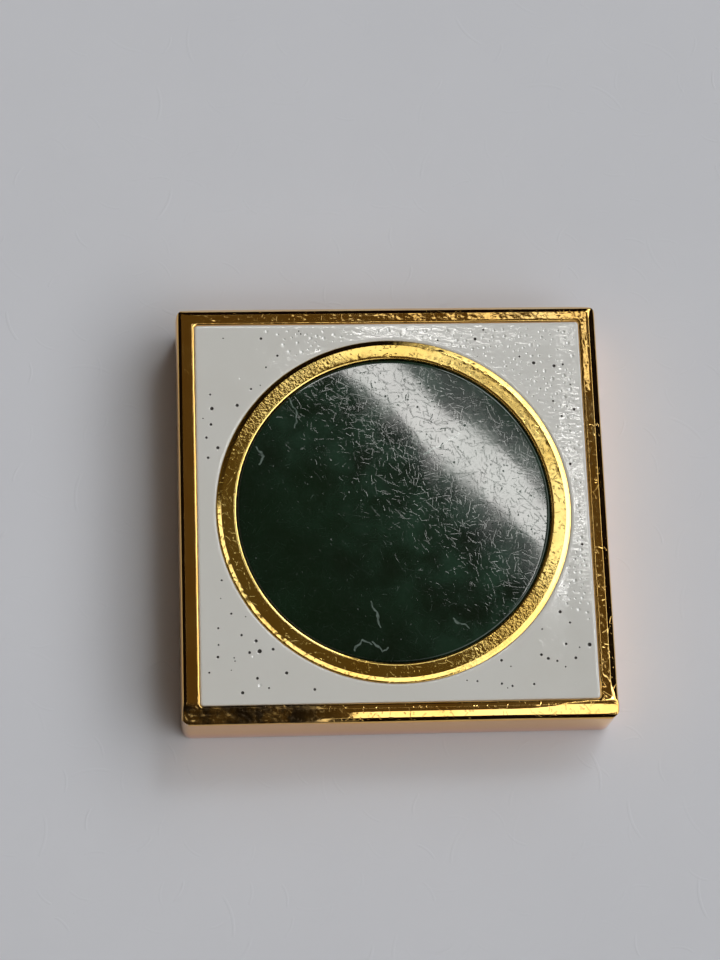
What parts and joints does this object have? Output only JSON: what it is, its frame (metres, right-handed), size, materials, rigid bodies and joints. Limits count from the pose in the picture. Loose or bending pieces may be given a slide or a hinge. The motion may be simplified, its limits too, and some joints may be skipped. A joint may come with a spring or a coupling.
{
  "type": "golf ball marker",
  "caption": "Square gold-plated golf ball marker with white and green enamel, a divider ring and a magnet in its flat back.",
  "frame": {"origin": "centre of the square back face, on the surface that the marker lies on", "axes": "+Z out of the enamelled face, X and Y along the sides of the square"},
  "size_m": [0.02, 0.02, 0.0033],
  "materials": {
    "gold_plate": "polished gold plate with fine wear scratches",
    "gold_plate_ring": "polished gold plate with fine wear scratches",
    "white_enamel": "polished enamel with pinholes",
    "green_enamel": "polished enamel with fine scratches",
    "nickel_plate": "bright nickel plate",
    "epoxy": "cured clear epoxy"
  },
  "bodies": {
    "root": {"tray": "gold_plate", "divider_ring": "gold_plate_ring", "white_enamel": "white_enamel", "green_enamel": "green_enamel", "magnet": "nickel_plate", "magnet_glue": "epoxy"}
  },
  "joints": []
}
